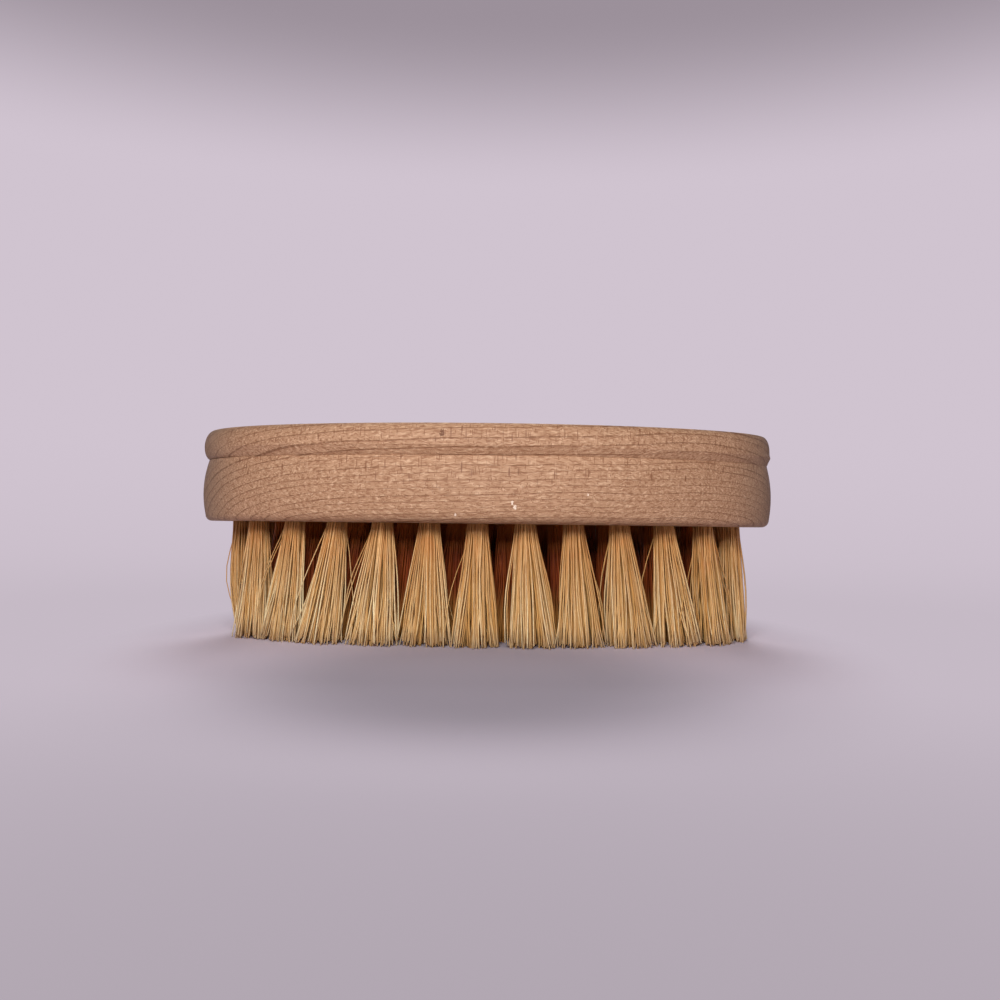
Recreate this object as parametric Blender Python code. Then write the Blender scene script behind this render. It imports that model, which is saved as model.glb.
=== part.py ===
"""Oval wooden body brush: a grooved beech block with bristle tufts set in blind holes.

Metres, +Z up. The brush stands on its bristle tips at z = 0, with the block on top.
+X runs along the block's length and +Y across its width. The origin is under the
block's middle. Each tuft is a bundle of fibres folded in half over a flat anchor wire,
which is driven into its hole. The bundle and its wire are one solid, with a node of
its own, and the bundle's free end is split into coarse strands.
"""

import math

import bmesh
import bpy
from mathutils import Matrix, Vector

# Block
LENGTH = 0.140
WIDTH = 0.066
BLOCK_THICKNESS = 0.022
GROOVE_HEIGHT = 0.0149          # of the finger groove above the block's underside
GROOVE_DEPTH = 0.0002           # behind the lower tier's top edge
GROOVE_FLOOR = 0.0001           # width of the groove's flat bottom
BARREL_RADIUS = 0.025           # of the lower tier's bulged side, in section
BARREL_HEIGHT = 0.0070          # of that bulge's widest line above the underside
LOWER_EDGE_RADIUS = 0.0012
UPPER_SET_BACK = 0.00015        # of the upper tier's widest line behind the outline
TOP_EDGE_DROP = 0.0037          # from the top face down to that widest line
TOP_EDGE_WIDTH = 0.0020         # of the rounding between that line and the top face

# Rows of tufts
OUTER_ROW_END_INSET = 0.0095    # from the block's outline to the hole centres
OUTER_ROW_SIDE_INSET = 0.01125
MIDDLE_ROW_END_STEP = 0.0100    # from the outer row to the middle row, at the ends
MIDDLE_ROW_SIDE_STEP = 0.0104   # and at the sides
CENTRE_ROW_END_STEP = 0.0155    # from the middle row to the centre row's last tuft
CENTRE_ROW_SHIFT = 0.0012       # towards +X, so that its tufts stand behind the others' gaps
OUTER_TUFTS = 25
MIDDLE_TUFTS = 18
CENTRE_TUFTS = 7
OUTER_ROW_START = 0.1           # first tuft's place past the -X end, in tuft pitches
MIDDLE_ROW_START = 0.94

# Holes and tuft roots
HOLE_DIAMETER = 0.0052
HOLE_DEPTH = 0.012
ROOT_CLEARANCE = 0.0003         # between a root and its hole, all round and at the end
WIRE_HEIGHT = 0.0014            # of the flat anchor wire
WIRE_THICKNESS = 0.0004
FOLD_HEIGHT = 0.0008            # of the fibres that pass over the wire
FOLD_DRAW_IN = 0.0004           # how far the wire draws the bundle in, all round
FOLD_CROWN_WIDTH = 0.0014

# Free bristles
BRISTLE_LENGTH = 0.0277         # from the block's underside to the tips
STRANDS_PER_TUFT = 8
END_LEAN = 0.0036               # greatest lean of a tuft's tips along the length
SIDE_LEAN = 0.0022              # lean of the outer row's tips across the width
TIP_GAP = 0.0003                # between the tips of neighbouring tufts
STRAND_TIP_WIDTH = 0.0009

# Fineness of the facets
OUTLINE_SEGMENTS = 72
HOLE_SEGMENTS = 12
BARREL_STEPS = 6
FLANK_STEPS = 4
EDGE_STEPS = 3
TOP_EDGE_STEPS = 5
STRAND_STEPS = 2
ROW_SAMPLES = 720               # points that measure the way round a row
SHARP_ANGLE = math.radians(30.0)

# Shape of the tufts' spread
LEAN_SWEEP = 0.9 * math.pi      # the lean grows and fades again along the length
INNER_STRAND_REACH = 0.45       # share of the spread that every second strand takes
SPREAD_CURVE = 1.25             # above 1, the strands part late, towards the tips

# Finish
WOOD_COLOUR = (0.50, 0.29, 0.18, 1.0)
WOOD_ROUGHNESS = 0.55
BRISTLE_COLOUR = (0.61, 0.39, 0.17, 1.0)
BRISTLE_ROUGHNESS = 0.5


def clear_scene():
    """Remove what the scene holds before the brush is built."""
    for scene_object in list(bpy.data.objects):
        bpy.data.objects.remove(scene_object, do_unlink=True)


def make_material(name, colour, roughness):
    """Return a plain Principled material."""
    material = bpy.data.materials.new(name)
    material.use_nodes = True
    shader = material.node_tree.nodes["Principled BSDF"]
    shader.inputs["Base Color"].default_value = colour
    shader.inputs["Roughness"].default_value = roughness
    shader.inputs["Metallic"].default_value = 0.0
    material.diffuse_color = colour
    return material


def object_from_bmesh(bm, name, material=None):
    """Turn a bmesh into a linked object, with its faces pointing out."""
    bmesh.ops.recalc_face_normals(bm, faces=bm.faces)
    mesh = bpy.data.meshes.new(name)
    bm.to_mesh(mesh)
    bm.free()
    made = bpy.data.objects.new(name, mesh)
    bpy.context.collection.objects.link(made)
    if material:
        mesh.materials.append(material)
    return made


# Block


def round_edge(centre_inset, centre_height, width, rise, start, end, steps):
    """Return section points round an edge, angles in degrees from outward."""
    points = []
    for step in range(steps + 1):
        angle = math.radians(start + (end - start) * step / steps)
        inset = centre_inset - width * math.cos(angle)
        points.append((inset, centre_height + rise * math.sin(angle)))
    return points


def bulge_inset(radius, rise):
    """Return how far a bulged side falls back at a height above or below its widest line."""
    return radius - math.sqrt(radius ** 2 - rise ** 2)


def block_section():
    """Return the block's side in section, as (inset, height above the underside)."""
    edge = LOWER_EDGE_RADIUS
    edge_inset = bulge_inset(BARREL_RADIUS, BARREL_HEIGHT - edge)
    points = round_edge(edge_inset + edge, edge, edge, edge, -90.0, 0.0, EDGE_STEPS)
    for step in range(1, BARREL_STEPS + 1):
        height = edge + (GROOVE_HEIGHT - edge) * step / BARREL_STEPS
        points.append((bulge_inset(BARREL_RADIUS, height - BARREL_HEIGHT), height))
    groove_inset = points[-1][0] + GROOVE_DEPTH
    points.append((groove_inset, GROOVE_HEIGHT + GROOVE_FLOOR / 2))
    widest = BLOCK_THICKNESS - TOP_EDGE_DROP
    flank_start = GROOVE_HEIGHT + GROOVE_FLOOR
    fall = groove_inset - UPPER_SET_BACK
    flank_radius = (fall ** 2 + (widest - flank_start) ** 2) / (2 * fall)
    for step in range(FLANK_STEPS + 1):
        height = flank_start + (widest - flank_start) * step / FLANK_STEPS
        points.append((UPPER_SET_BACK + bulge_inset(flank_radius, widest - height), height))
    points += round_edge(UPPER_SET_BACK + TOP_EDGE_WIDTH, widest, TOP_EDGE_WIDTH,
                         TOP_EDGE_DROP, 0.0, 90.0, TOP_EDGE_STEPS)[1:]
    return points


def oval_loop(bm, inset, height):
    """Add one closed loop of edges, a constant inset inside the block's oval outline."""
    half_length = LENGTH / 2
    half_width = WIDTH / 2
    corners = []
    for segment in range(OUTLINE_SEGMENTS):
        angle = math.tau * segment / OUTLINE_SEGMENTS
        outward = Vector((math.cos(angle) / half_length, math.sin(angle) / half_width, 0.0))
        outward.normalize()
        rim = Vector((half_length * math.cos(angle), half_width * math.sin(angle), height))
        corners.append(bm.verts.new(rim - inset * outward))
    edges = []
    for corner, following in zip(corners, corners[1:] + corners[:1]):
        edges.append(bm.edges.new((corner, following)))
    return corners, edges


def make_block(material):
    """Build the grooved oval block, without its holes."""
    bm = bmesh.new()
    loops = []
    for inset, height in block_section():
        loops.append(oval_loop(bm, inset, BRISTLE_LENGTH + height))
    for lower, upper in zip(loops, loops[1:]):
        bmesh.ops.bridge_loops(bm, edges=lower[1] + upper[1])
    bm.faces.new(loops[0][0])
    bm.faces.new(loops[-1][0])
    block = object_from_bmesh(bm, "block", material)
    block.data.shade_smooth()
    block.data.set_sharp_from_angle(angle=SHARP_ANGLE)
    return block


def drill_block(block, roots):
    """Cut one blind hole for each tuft into the block's underside."""
    bm = bmesh.new()
    side_radius = HOLE_DIAMETER / 2 / math.cos(math.pi / HOLE_SEGMENTS)
    for root in roots:
        mouth = Matrix.Translation((root.x, root.y, BRISTLE_LENGTH))
        bmesh.ops.create_cone(bm, cap_ends=True, segments=HOLE_SEGMENTS, radius1=side_radius,
                              radius2=side_radius, depth=2 * HOLE_DEPTH, matrix=mouth)
    drills = object_from_bmesh(bm, "tuft_hole_drills")
    drills.hide_render = True
    drills.display_type = "WIRE"
    cut = block.modifiers.new("tuft_holes", "BOOLEAN")
    cut.operation = "DIFFERENCE"
    cut.solver = "EXACT"
    cut.object = drills


# Rows of tufts


def points_round_oval(half_length, half_width, count, start):
    """Return evenly spaced points round an oval, from its -X end, start in pitches."""
    angles = [math.pi + math.tau * step / ROW_SAMPLES for step in range(ROW_SAMPLES + 1)]
    travelled = [0.0]
    for angle, following in zip(angles, angles[1:]):
        across = half_length * (math.cos(following) - math.cos(angle))
        along = half_width * (math.sin(following) - math.sin(angle))
        travelled.append(travelled[-1] + math.hypot(across, along))
    points = []
    step = 0
    start %= 1.0    # a whole pitch further on, each point lies on its neighbour's place
    for index in range(count):
        target = travelled[-1] * (index + start) / count
        while travelled[step + 1] < target:
            step += 1
        share = (target - travelled[step]) / (travelled[step + 1] - travelled[step])
        angle = angles[step] + share * (angles[step + 1] - angles[step])
        points.append(Vector((half_length * math.cos(angle), half_width * math.sin(angle))))
    return points


def outer_row_size():
    """Return the outer row's half length and half width."""
    return LENGTH / 2 - OUTER_ROW_END_INSET, WIDTH / 2 - OUTER_ROW_SIDE_INSET


def tuft_rows():
    """Return (row name, root points) for the three rows, one inside the other."""
    outer_length, outer_width = outer_row_size()
    middle_length = outer_length - MIDDLE_ROW_END_STEP
    middle_width = outer_width - MIDDLE_ROW_SIDE_STEP
    centre_length = middle_length - CENTRE_ROW_END_STEP
    centre = []
    for index in range(CENTRE_TUFTS):
        share = 2 * index / (CENTRE_TUFTS - 1) - 1
        centre.append(Vector((share * centre_length + CENTRE_ROW_SHIFT, 0.0)))
    return [
        ("outer", points_round_oval(outer_length, outer_width, OUTER_TUFTS, OUTER_ROW_START)),
        ("middle", points_round_oval(middle_length, middle_width, MIDDLE_TUFTS,
                                     MIDDLE_ROW_START)),
        ("centre", centre),
    ]


def tip_of(root):
    """Return where the middle of a tuft's tips stands, as the tufts fan outward."""
    outer_length, outer_width = outer_row_size()
    along = END_LEAN * math.sin(LEAN_SWEEP * root.x / outer_length)
    across = SIDE_LEAN * root.y / outer_width
    return root + Vector((along, across))


def tip_radius(tip, tips):
    """Return the room that a tuft's tips have before they meet the nearest tuft's."""
    nearest = min((tip - other).length for other in tips if other is not tip)
    return (nearest - TIP_GAP) / 2


# Tufts


def extrude_rim(bm, height, scale_x, scale_y):
    """Extrude the open rim to a height, scaled about the tuft's axis."""
    rim = [edge for edge in bm.edges if edge.is_boundary]
    grown = bmesh.ops.extrude_edge_only(bm, edges=rim)["geom"]
    for item in grown:
        if isinstance(item, bmesh.types.BMVert):
            item.co = (item.co.x * scale_x, item.co.y * scale_y, height)
    return [item for item in grown if isinstance(item, bmesh.types.BMFace)]


def make_root(bm, radius):
    """Grow the folded root, with the ends of its anchor wire, up from the hole's mouth."""
    top = BRISTLE_LENGTH + HOLE_DEPTH - ROOT_CLEARANCE
    wire_top = top - FOLD_HEIGHT
    drawn_in = (radius - FOLD_DRAW_IN) / radius
    crown = FOLD_CROWN_WIDTH / 2 / (radius * drawn_in)
    extrude_rim(bm, wire_top - WIRE_HEIGHT, drawn_in, drawn_in)
    band = extrude_rim(bm, wire_top, 1.0, 1.0)
    extrude_rim(bm, top, 1.0, crown)
    bmesh.ops.edgeloop_fill(bm, edges=[edge for edge in bm.edges if edge.is_boundary])
    band.sort(key=lambda face: face.calc_center_median().x)
    for side, flat in ((-1, band[0]), (1, band[-1])):
        wire_end = bmesh.ops.extrude_discrete_faces(bm, faces=[flat])["faces"][0]
        for corner in wire_end.verts:
            corner.co.x = side * radius
            corner.co.y = math.copysign(WIRE_THICKNESS / 2, corner.co.y)


def make_strand(bm, base, index, radius, spread):
    """Draw one wedge of the hole's mouth out into a strand that ends flat on the floor."""
    corners = [corner.co.copy() for corner in base.verts]
    middle = sum(corners, Vector()) / len(corners)
    outward = Vector((middle.x, middle.y, 0.0)).normalized()
    half_chord = radius * math.sin(math.pi / STRANDS_PER_TUFT)
    tip_scale = STRAND_TIP_WIDTH / 2 / half_chord
    tip_edge = (radius * math.cos(math.pi / STRANDS_PER_TUFT) - middle.xy.length) * tip_scale
    reach = spread - tip_edge - STRAND_TIP_WIDTH / 2
    if index % 2:
        reach *= INNER_STRAND_REACH
    face = base
    for step in range(1, STRAND_STEPS + 1):
        share = step / STRAND_STEPS
        scale = 1.0 + (tip_scale - 1.0) * share
        shift = (reach - middle.xy.length) * share ** SPREAD_CURVE
        face = bmesh.ops.extrude_discrete_faces(bm, faces=[face])["faces"][0]
        for corner, start in zip(face.verts, corners):
            place = middle + (start - middle) * scale + outward * shift
            corner.co = (place.x, place.y, BRISTLE_LENGTH * (1.0 - share))


def make_tuft(name, root, tip, spread, material):
    """Build one tuft as a single solid: folded root, anchor wire ends and free strands."""
    bm = bmesh.new()
    radius = HOLE_DIAMETER / 2 - ROOT_CLEARANCE
    half_step = math.pi / STRANDS_PER_TUFT
    turned = Matrix.Translation((0.0, 0.0, BRISTLE_LENGTH)) @ Matrix.Rotation(half_step, 4, "Z")
    bmesh.ops.create_circle(bm, cap_ends=True, cap_tris=True, segments=STRANDS_PER_TUFT,
                            radius=radius, matrix=turned)
    wedges = list(bm.faces)
    wedges.sort(key=lambda face: math.atan2(face.calc_center_median().y,
                                            face.calc_center_median().x))
    make_root(bm, radius)
    for index, wedge in enumerate(wedges):
        make_strand(bm, wedge, index, radius, spread)
    lean = tip - root
    for vertex in bm.verts:
        share = max(0.0, 1.0 - vertex.co.z / BRISTLE_LENGTH)
        vertex.co.x += lean.x * share
        vertex.co.y += lean.y * share
    tuft = object_from_bmesh(bm, name, material)
    tuft.location = (root.x, root.y, 0.0)
    return tuft


def build_brush():
    """Build the block and all its tufts."""
    clear_scene()
    wood = make_material("beech", WOOD_COLOUR, WOOD_ROUGHNESS)
    bristle = make_material("bristle", BRISTLE_COLOUR, BRISTLE_ROUGHNESS)
    rows = tuft_rows()
    roots = [root for _, row in rows for root in row]
    tips = [tip_of(root) for root in roots]
    block = make_block(wood)
    drill_block(block, roots)
    tips_left = iter(tips)
    for row_name, row in rows:
        for index, root in enumerate(row):
            tip = next(tips_left)
            name = f"tuft_{row_name}_{index + 1:02d}"
            make_tuft(name, root, tip, tip_radius(tip, tips), bristle)


build_brush()
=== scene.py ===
"""Looks of the oval wooden body brush: beech block, plant-fibre tufts, floor and light.

Metres, +Z up. The brush stands on its bristle tips at z = 0, +X runs along the block and
-Y faces the camera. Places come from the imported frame: the block's box, and each tuft
node's root and tips.
"""

import math

import bmesh
import bpy
import numpy as np
from mathutils import Matrix, Vector


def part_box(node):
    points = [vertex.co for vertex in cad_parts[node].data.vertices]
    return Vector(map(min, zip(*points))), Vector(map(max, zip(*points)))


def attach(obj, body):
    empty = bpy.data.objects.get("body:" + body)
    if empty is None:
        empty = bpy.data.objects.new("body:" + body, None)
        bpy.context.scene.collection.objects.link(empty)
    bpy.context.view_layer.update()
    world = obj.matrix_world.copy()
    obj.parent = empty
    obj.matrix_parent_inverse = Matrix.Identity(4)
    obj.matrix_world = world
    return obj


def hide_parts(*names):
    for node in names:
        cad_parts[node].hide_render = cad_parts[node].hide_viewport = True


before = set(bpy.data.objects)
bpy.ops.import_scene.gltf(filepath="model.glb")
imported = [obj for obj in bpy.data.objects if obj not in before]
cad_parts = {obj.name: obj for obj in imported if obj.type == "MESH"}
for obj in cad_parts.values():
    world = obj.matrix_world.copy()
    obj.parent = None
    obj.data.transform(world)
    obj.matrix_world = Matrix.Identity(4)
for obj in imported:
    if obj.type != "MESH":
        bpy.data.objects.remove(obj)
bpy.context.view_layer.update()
BLOCK_LOW, BLOCK_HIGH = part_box("block")
UNDERSIDE = BLOCK_LOW.z
HALF_LENGTH = (BLOCK_HIGH.x - BLOCK_LOW.x) / 2
HALF_WIDTH = (BLOCK_HIGH.y - BLOCK_LOW.y) / 2
THICKNESS = BLOCK_HIGH.z - BLOCK_LOW.z
TUFT_NODES = sorted(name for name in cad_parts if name.startswith("tuft_"))

MM = 0.001

# Block section: heights are above the underside, insets are inside the oval outline.
# Where two values are given, they are those at the -X end and at the +X end.
GROOVE_HEIGHT = 14.8 * MM
GROOVE_DEPTH = 0.30 * MM
GROOVE_FLOOR = 0.06 * MM
BARREL_RADIUS = (25.0 * MM, 31.0 * MM)
BARREL_HEIGHT = 7.0 * MM
LOWER_EDGE_RADIUS = (1.5 * MM, 1.7 * MM)
UPPER_SET_BACK = (0.0, 0.35 * MM)
TOP_EDGE_DROP = (3.9 * MM, 3.5 * MM)
TOP_EDGE_WIDTH = (2.4 * MM, 1.7 * MM)
# The lower edge's radius is larger by this halfway along
LOWER_EDGE_MIDDLE = 1.6 * MM
# The cove over the groove runs out near the -X end, where the upper tier is a round chin
COVE_HEIGHT = (2.5 * MM, 1.9 * MM)
COVE_LEAST = 0.05 * MM
COVE_HOLLOW = 0.82
COVE_START = math.radians(25.0)
COVE_FULL = math.radians(34.0)
LIP = 0.20 * MM
LIP_SIZE = 0.70 * MM
# Powers of the share of the way to the +X end: the higher one is, the later its form changes
UPPER_SET_BACK_POWER = 3
BARREL_POWER = 4
LIP_POWER = 6
GROOVE_POWER = 12
# Slight waves of the groove, and of the side's inset, which grow toward the top
GROOVE_WANDER = 0.03 * MM
GROOVE_WANDER_REACH = 1.2 * MM
GROOVE_WANDER_SEED = 1.0
EDGE_WANDER = 0.10 * MM
EDGE_WANDER_SEED = 2.0
WANDER_WAVES = range(2, 7)
WANDER_SHIFT = 1.7
SHARP_ANGLE = math.radians(22.0)
OUTLINE_SEGMENTS = 288
LOWER_EDGE_STEPS = 6
BARREL_STEPS = 16
COVE_STEPS = 8
FLANK_STEPS = 8
FLANK_CROWDING = 1.5
TOP_EDGE_STEPS = 12

# Tuft holes and anchor wires. The wire's depth is that of its upper edge, which the fibres
# are folded over.
HOLE_RADIUS = 2.6 * MM
HOLE_DEPTH = 12.0 * MM
HOLE_SEGMENTS = 28
WIRE_DEPTH = 10.2 * MM
WIRE_HEIGHT = 1.4 * MM
WIRE_THICKNESS = 0.4 * MM
WIRE_CLEARANCE = 0.1 * MM
WIRE_LENGTH = 2 * HOLE_RADIUS - WIRE_CLEARANCE
WIRE_BEVEL = 0.3 * WIRE_THICKNESS
FOLD_ROOM = 0.35 * MM
FOLD_ROUNDNESS = 0.45

# Fibres. Each one is folded over the wire, so it has two free ends.
TUFT_SEED = 4000
FIBRE_PAIRS = 64
FIBRE_RADIUS = (0.15 * MM, 0.22 * MM)
FIBRE_SIDES = 4
FREE_STEPS = 7
FOLD_STEPS = 4
TIP_TAPER = 0.84
# How far the roots and the tips lie from their tuft's middle. The tips' reach is that in the
# outer row, near that row's ends, and in the inner rows.
ROOT_RADIUS = 2.2 * MM
TIP_REACH = 6.4 * MM
END_REACH = 4.4 * MM
INNER_REACH = 5.2 * MM
SPREAD_CURVE = 1.05
# Share of the spread that is left toward the outside of the block's oval
OUTWARD_SPREAD = 0.55
TIP_SCATTER = 0.35 * MM
# The tips end up to this high, and the higher the power is, the more of them are low
TIP_RAGGED = 1.5 * MM
TIP_RAGGED_POWER = 1.5
# Height under which the corners of a tuft's node are its tips
TIP_BAND = 0.1 * MM
# The tips gather toward a few places in each tuft
CLUMPS = 14
CLUMP_REACH = 0.8
CLUMPING = 0.42
# Stray fibres scatter more, bow more, are thinner and may end higher
STRAY_SHARE = 0.085
STRAY_SCATTER = 2.4 * MM
STRAY_SHORT = 2.0 * MM
STRAY_BOW = 3.0
STRAY_THINNESS = 0.7
FIBRE_BOW = 0.35 * MM
FIBRE_BOW_POWER = 1.2
FIBRE_WAVE = 0.14 * MM
FIBRE_WAVES = 1.3
# The tufts near the block's ends spread less, and bow outward at the -X end. That starts at
# this share of the half length and is full a third of the way from there to the end.
END_BOW = 1.2 * MM
END_BOW_START = 0.8
END_BOW_SPEED = 3.0
TUFT_WANDER = 0.4 * MM
# How much painted shade the fibres inside an outer tuft take, a deeper colour which a higher
# power brings nearer to the tuft's rim
INSIDE_PAINTED_SHADE = 0.8
INSIDE_PAINTED_SHADE_POWER = 4
# How much of each fibre's tone is its tuft's
TUFT_TONE = 0.32
# How far the tips of the near outer tufts lean along the block, in millimetres, from the
# block's -X end on
NEAR_LEANS = (2.0, -1.0, -3.0, -3.9, -2.2, -0.7, 0.4, 1.7, 1.7, 3.4, 3.8, 3.2, 2.2)

# Wood figure, in millimetres: the rings' middle, and the point that the rays run from
PITH_Y = -29.0
PITH_Z = 5.0
PITH_DRIFT = 0.08
RINGS_PER_SCALE = 18.5
RING_UNEVENNESS = 1.3
GRAIN_SLOPE = 0.03
GRAIN_WANDER = 3.0
# Shares of a ring: where its tone climbs, where its dark line sets in, where both drop off
LATE_WOOD = (0.3, 0.95)
DARK_LINE = (0.82, 0.92)
RING_DROP = (0.96, 1.0)
# Noise that makes the rings uneven, and that breaks up their dark lines
RING_NOISE_ALONG = 0.012
RING_NOISE_SCALE = 0.4
BREAK_ALONG = 0.55
BREAK_ROUND = 30.0
BREAK_SCALE = 1.2
BREAK_REACH = (0.32, 0.56)
BREAK_LEAST = 0.1
RAY_CENTRE_Y = -45.0
RAY_CENTRE_Z = -12.0
RAY_SPREAD = 52.0
RAY_SWAY = 0.004
# Cells of the rays and of the smaller dashes: length, thickness and depth, then how far each
# fills its cell, and a shift along the block that gives each kind its own places
RAY_CELL = (0.78, 0.95, 6.0)
RAY_FILL = (0.15, 0.29)
RAY_SHIFT = 0.0
GLEAM_SHIFT = 90.0
DASH_CELL = (0.37, 0.22, 3.6)
DASH_FILL = (0.15, 0.38)
DASH_SHIFT = 40.0
RAY_CHANCE = (0.25, 0.65)
# The rays show in groups along the block, best on the shoulder, which starts between these
# heights, and little in the cove
RAY_GROUP_ALONG = 0.25
RAY_GROUP_REACH = (0.35, 0.65)
RAY_GROUP_SHARES = (0.5, 0.95)
RAY_RISE = (34.5, 38.5)
RAY_LEAST = 0.25
RAY_GAP_Z = 44.0
RAY_GAP_REACH = (0.9, 1.8)
RAY_GAP_LEAST = 0.2
# Noise in the wood: how much it's drawn out along the grain, lower being longer, then its
# scale and its detail
GRAIN_NOISE = (0.4, 0.05, 2.0)
SWAY_NOISE = (0.6, 0.4, 1.0)
WAVE_NOISE = (0.6, 0.8, 1.0)
CLOUD_NOISE = (0.3, 0.09, 3.0)
VESSEL_WAVE = 1.4
VESSEL_ALONG = 0.15
VESSEL_SCALE = 3.5
VESSEL_REACH = (0.50, 0.66)
# The pale streaks beside the vessels are painted highlights
PAINTED_HIGHLIGHT_REACH = (0.30, 0.46)
# The end grain's deeper tone, with painted shade and a painted grey reflection of the pale
# surroundings, sets in between these distances from the block's middle
END_GRAIN_AND_SHADE_REACH = (54.0, 70.0)
# Pale nicks and a small knot in the near side: their places along the block and up, and
# their half widths
NICKS = ((6.1, 32.3, 0.28), (6.7, 31.3, 0.36), (-6.2, 29.5, 0.22), (22.6, 34.2, 0.20))
KNOT = (-9.3, 47.2, 0.55)
MARK_TALLNESS = 1.6
MARK_RAGGEDNESS = 5.0
MARK_NOISE_SCALE = 3.0
MARK_EDGE = (0.4, 1.2)

# Wood colours: the ground's two, then how strongly each mark shows and its colour
BEECH = ((0.43, 0.237, 0.133), (0.52, 0.300, 0.176))
LATE_WOOD_TONE = (0.20, (0.34, 0.16, 0.08))
VESSEL_TONE = (0.72, (0.27, 0.12, 0.06))
PAINTED_HIGHLIGHT_TONE = (0.66, (0.71, 0.47, 0.305))
# The gleam is a painted highlight
GLEAM_TONE = (0.25, (0.71, 0.47, 0.305))
DASH_TONE = (0.80, (0.24, 0.10, 0.048))
RAY_TONE = (1.0, (0.22, 0.09, 0.043))
LINE_TONE = (0.80, (0.19, 0.08, 0.038))
END_GRAIN_AND_SHADE_SHARE = 0.4
END_GRAIN_AND_SHADE_COLOUR = (0.22, 0.18, 0.13)
KNOT_COLOUR = (0.17, 0.07, 0.035)
NICK_COLOUR = (0.84, 0.67, 0.53)
WOOD_ROUGHNESS = (0.62, 0.48)
WOOD_SPECULAR = 0.22
WOOD_RELIEF = 0.05 * MM
WOOD_RELIEF_STRENGTH = 0.8
VESSEL_SINK = -0.6
LINE_SINK = -0.5
DASH_SINK = -0.3

# Bristle colours. Where two are given, they are the darkest and the palest fibre's.
# The roots are darker than the tips as painted shade under the block
ROOT_PAINTED_SHADE_COLOURS = ((0.40, 0.155, 0.032), (0.88, 0.49, 0.165))
TIP_COLOURS = ((0.68, 0.32, 0.07), (1.0, 0.87, 0.53))
# Painted light on the very tips
TIP_PAINTED_LIGHT_COLOUR = (1.0, 0.83, 0.52)
TIP_PAINTED_LIGHT_SHARE = 0.5
# The painted shade of the fibres inside a tuft, at the root and at the tip
INSIDE_PAINTED_SHADE_COLOURS = ((0.46, 0.19, 0.04), (0.72, 0.39, 0.11))
# The inner rows: a painted glow at the root, then painted deep shade, then their tips
INNER_PAINTED_GLOW_COLOUR = (0.62, 0.18, 0.035)
INNER_PAINTED_SHADE_COLOURS = ((0.12, 0.014, 0.003), (0.30, 0.065, 0.012))
INNER_TIP_COLOUR = (0.62, 0.29, 0.07)
# Shares of the free length over which one colour gives way to the next
PALING = (0.0, 0.8)
TIP_PAINTED_LIGHT_REACH = (0.8, 1.0)
INNER_ROOT = (0.0, 0.28)
INNER_TIP = (0.5, 1.0)
# The inner rows have a painted shade of 1, which is above any in an outer tuft
INNER_CORE = (0.9, 1.0)
# Stains near the root, and fine streaks all along
STAIN_COLOUR = (0.58, 0.20, 0.03)
STAIN_SCALE = 230.0
STAIN_REACH = (0.48, 0.72)
STAIN_SHARE = 0.6
STREAK_COLOUR = (0.56, 0.25, 0.055)
STREAK_SCALE = 900.0
STREAK_REACH = (0.4, 0.7)
STREAK_SHARE = 0.3
SHEEN_REACH = (0.3, 0.7)
FIBRE_ROUGHNESS = (0.34, 0.52)
FIBRE_SPECULAR = 0.5
CORE_SPECULAR_CHANGE = -0.4

STEEL_COLOURS = ((0.50, 0.49, 0.47), (0.66, 0.65, 0.63))
STEEL_SCALE = 2500.0
STEEL_ROUGHNESS = (0.28, 0.45)

# The photograph's camera: its distance and offsets to the middle of the block's underside
CAMERA_DISTANCE = 248.6 * MM
CAMERA_OFFSET_X = -3.34 * MM
CAMERA_OFFSET_Z = -5.99 * MM
CAMERA_YAW = math.radians(-0.32)
CAMERA_PITCH = math.radians(-1.6)
CAMERA_ROLL = math.radians(0.7)
CAMERA_LENS = 36.0
CAMERA_SENSOR = 36.0
CAMERA_CLIP = (0.005, 20.0)

# Stage and light
BLACK = (0.0, 0.0, 0.0)
PAPER_ROUGHNESS = 0.9
FLOOR_RADIUS = 0.95
FLOOR_SEGMENTS = 96
WALL_RADIUS = 0.45
WALL_HEIGHT = 1.30
WALL_STEPS = 16
MERGE_DISTANCE = 1e-6
# The lit floor gives way to the set backdrop between these distances, which are nearer aside
NEAR_FLOOR = 0.105
FAR_FLOOR = 0.155
SIDE_STRETCH = 1.7
EYE_HEIGHT = 0.034
# Floor colours near the key lamp's foot and further off, at these distances from it: darker near
# the foot as painted shade that evens out the lamp's pool of light
FLOOR_PAINTED_SHADE_COLOURS = ((0.32, 0.28, 0.32), (0.75, 0.66, 0.75))
FLOOR_PAINTED_SHADE_REACH = (0.09, 0.19)
# Painted shadow of the brush: a deeper tone of the floor in front of it
PAINTED_SHADOW_SHARE = 0.38
PAINTED_SHADOW_PLACE_Y = -0.065
PAINTED_SHADOW_REACH = (0.03, 0.085)
PAINTED_SHADOW_STRETCH = 1.5
# Backdrop colours by how high they're seen from the brush: floor, wall, wall's top. The floor's
# is a little darker, and the wall's top much darker as painted shade
BACKDROP_COLOURS = ((0.56, 0.49, 0.56), (0.63, 0.55, 0.63), (0.33, 0.28, 0.325))
BACKDROP_RISE = (math.radians(-12.0), math.radians(6.0))
BACKDROP_TOP_SHADE = (math.radians(21.5), math.radians(31.5))
# A painted shadow dims the backdrop about this place, near the key lamp's foot; the floor's
# painted shade is measured from here too
SHADE_PLACE_Y = -0.22
BACKDROP_SHADOW_RADIUS = 0.17
BACKDROP_SHADOW_SHARE = 0.23
WORLD_STRENGTH = 0.03
KEY_PLACE = Vector((-0.014, -0.23, 0.112))
KEY_SIZE = 0.075
KEY_POWER = 0.475
REAR_PLACE = Vector((0.0, 0.86, 0.60))
REAR_SIZE = 0.60
REAR_POWER = 6.5


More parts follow.
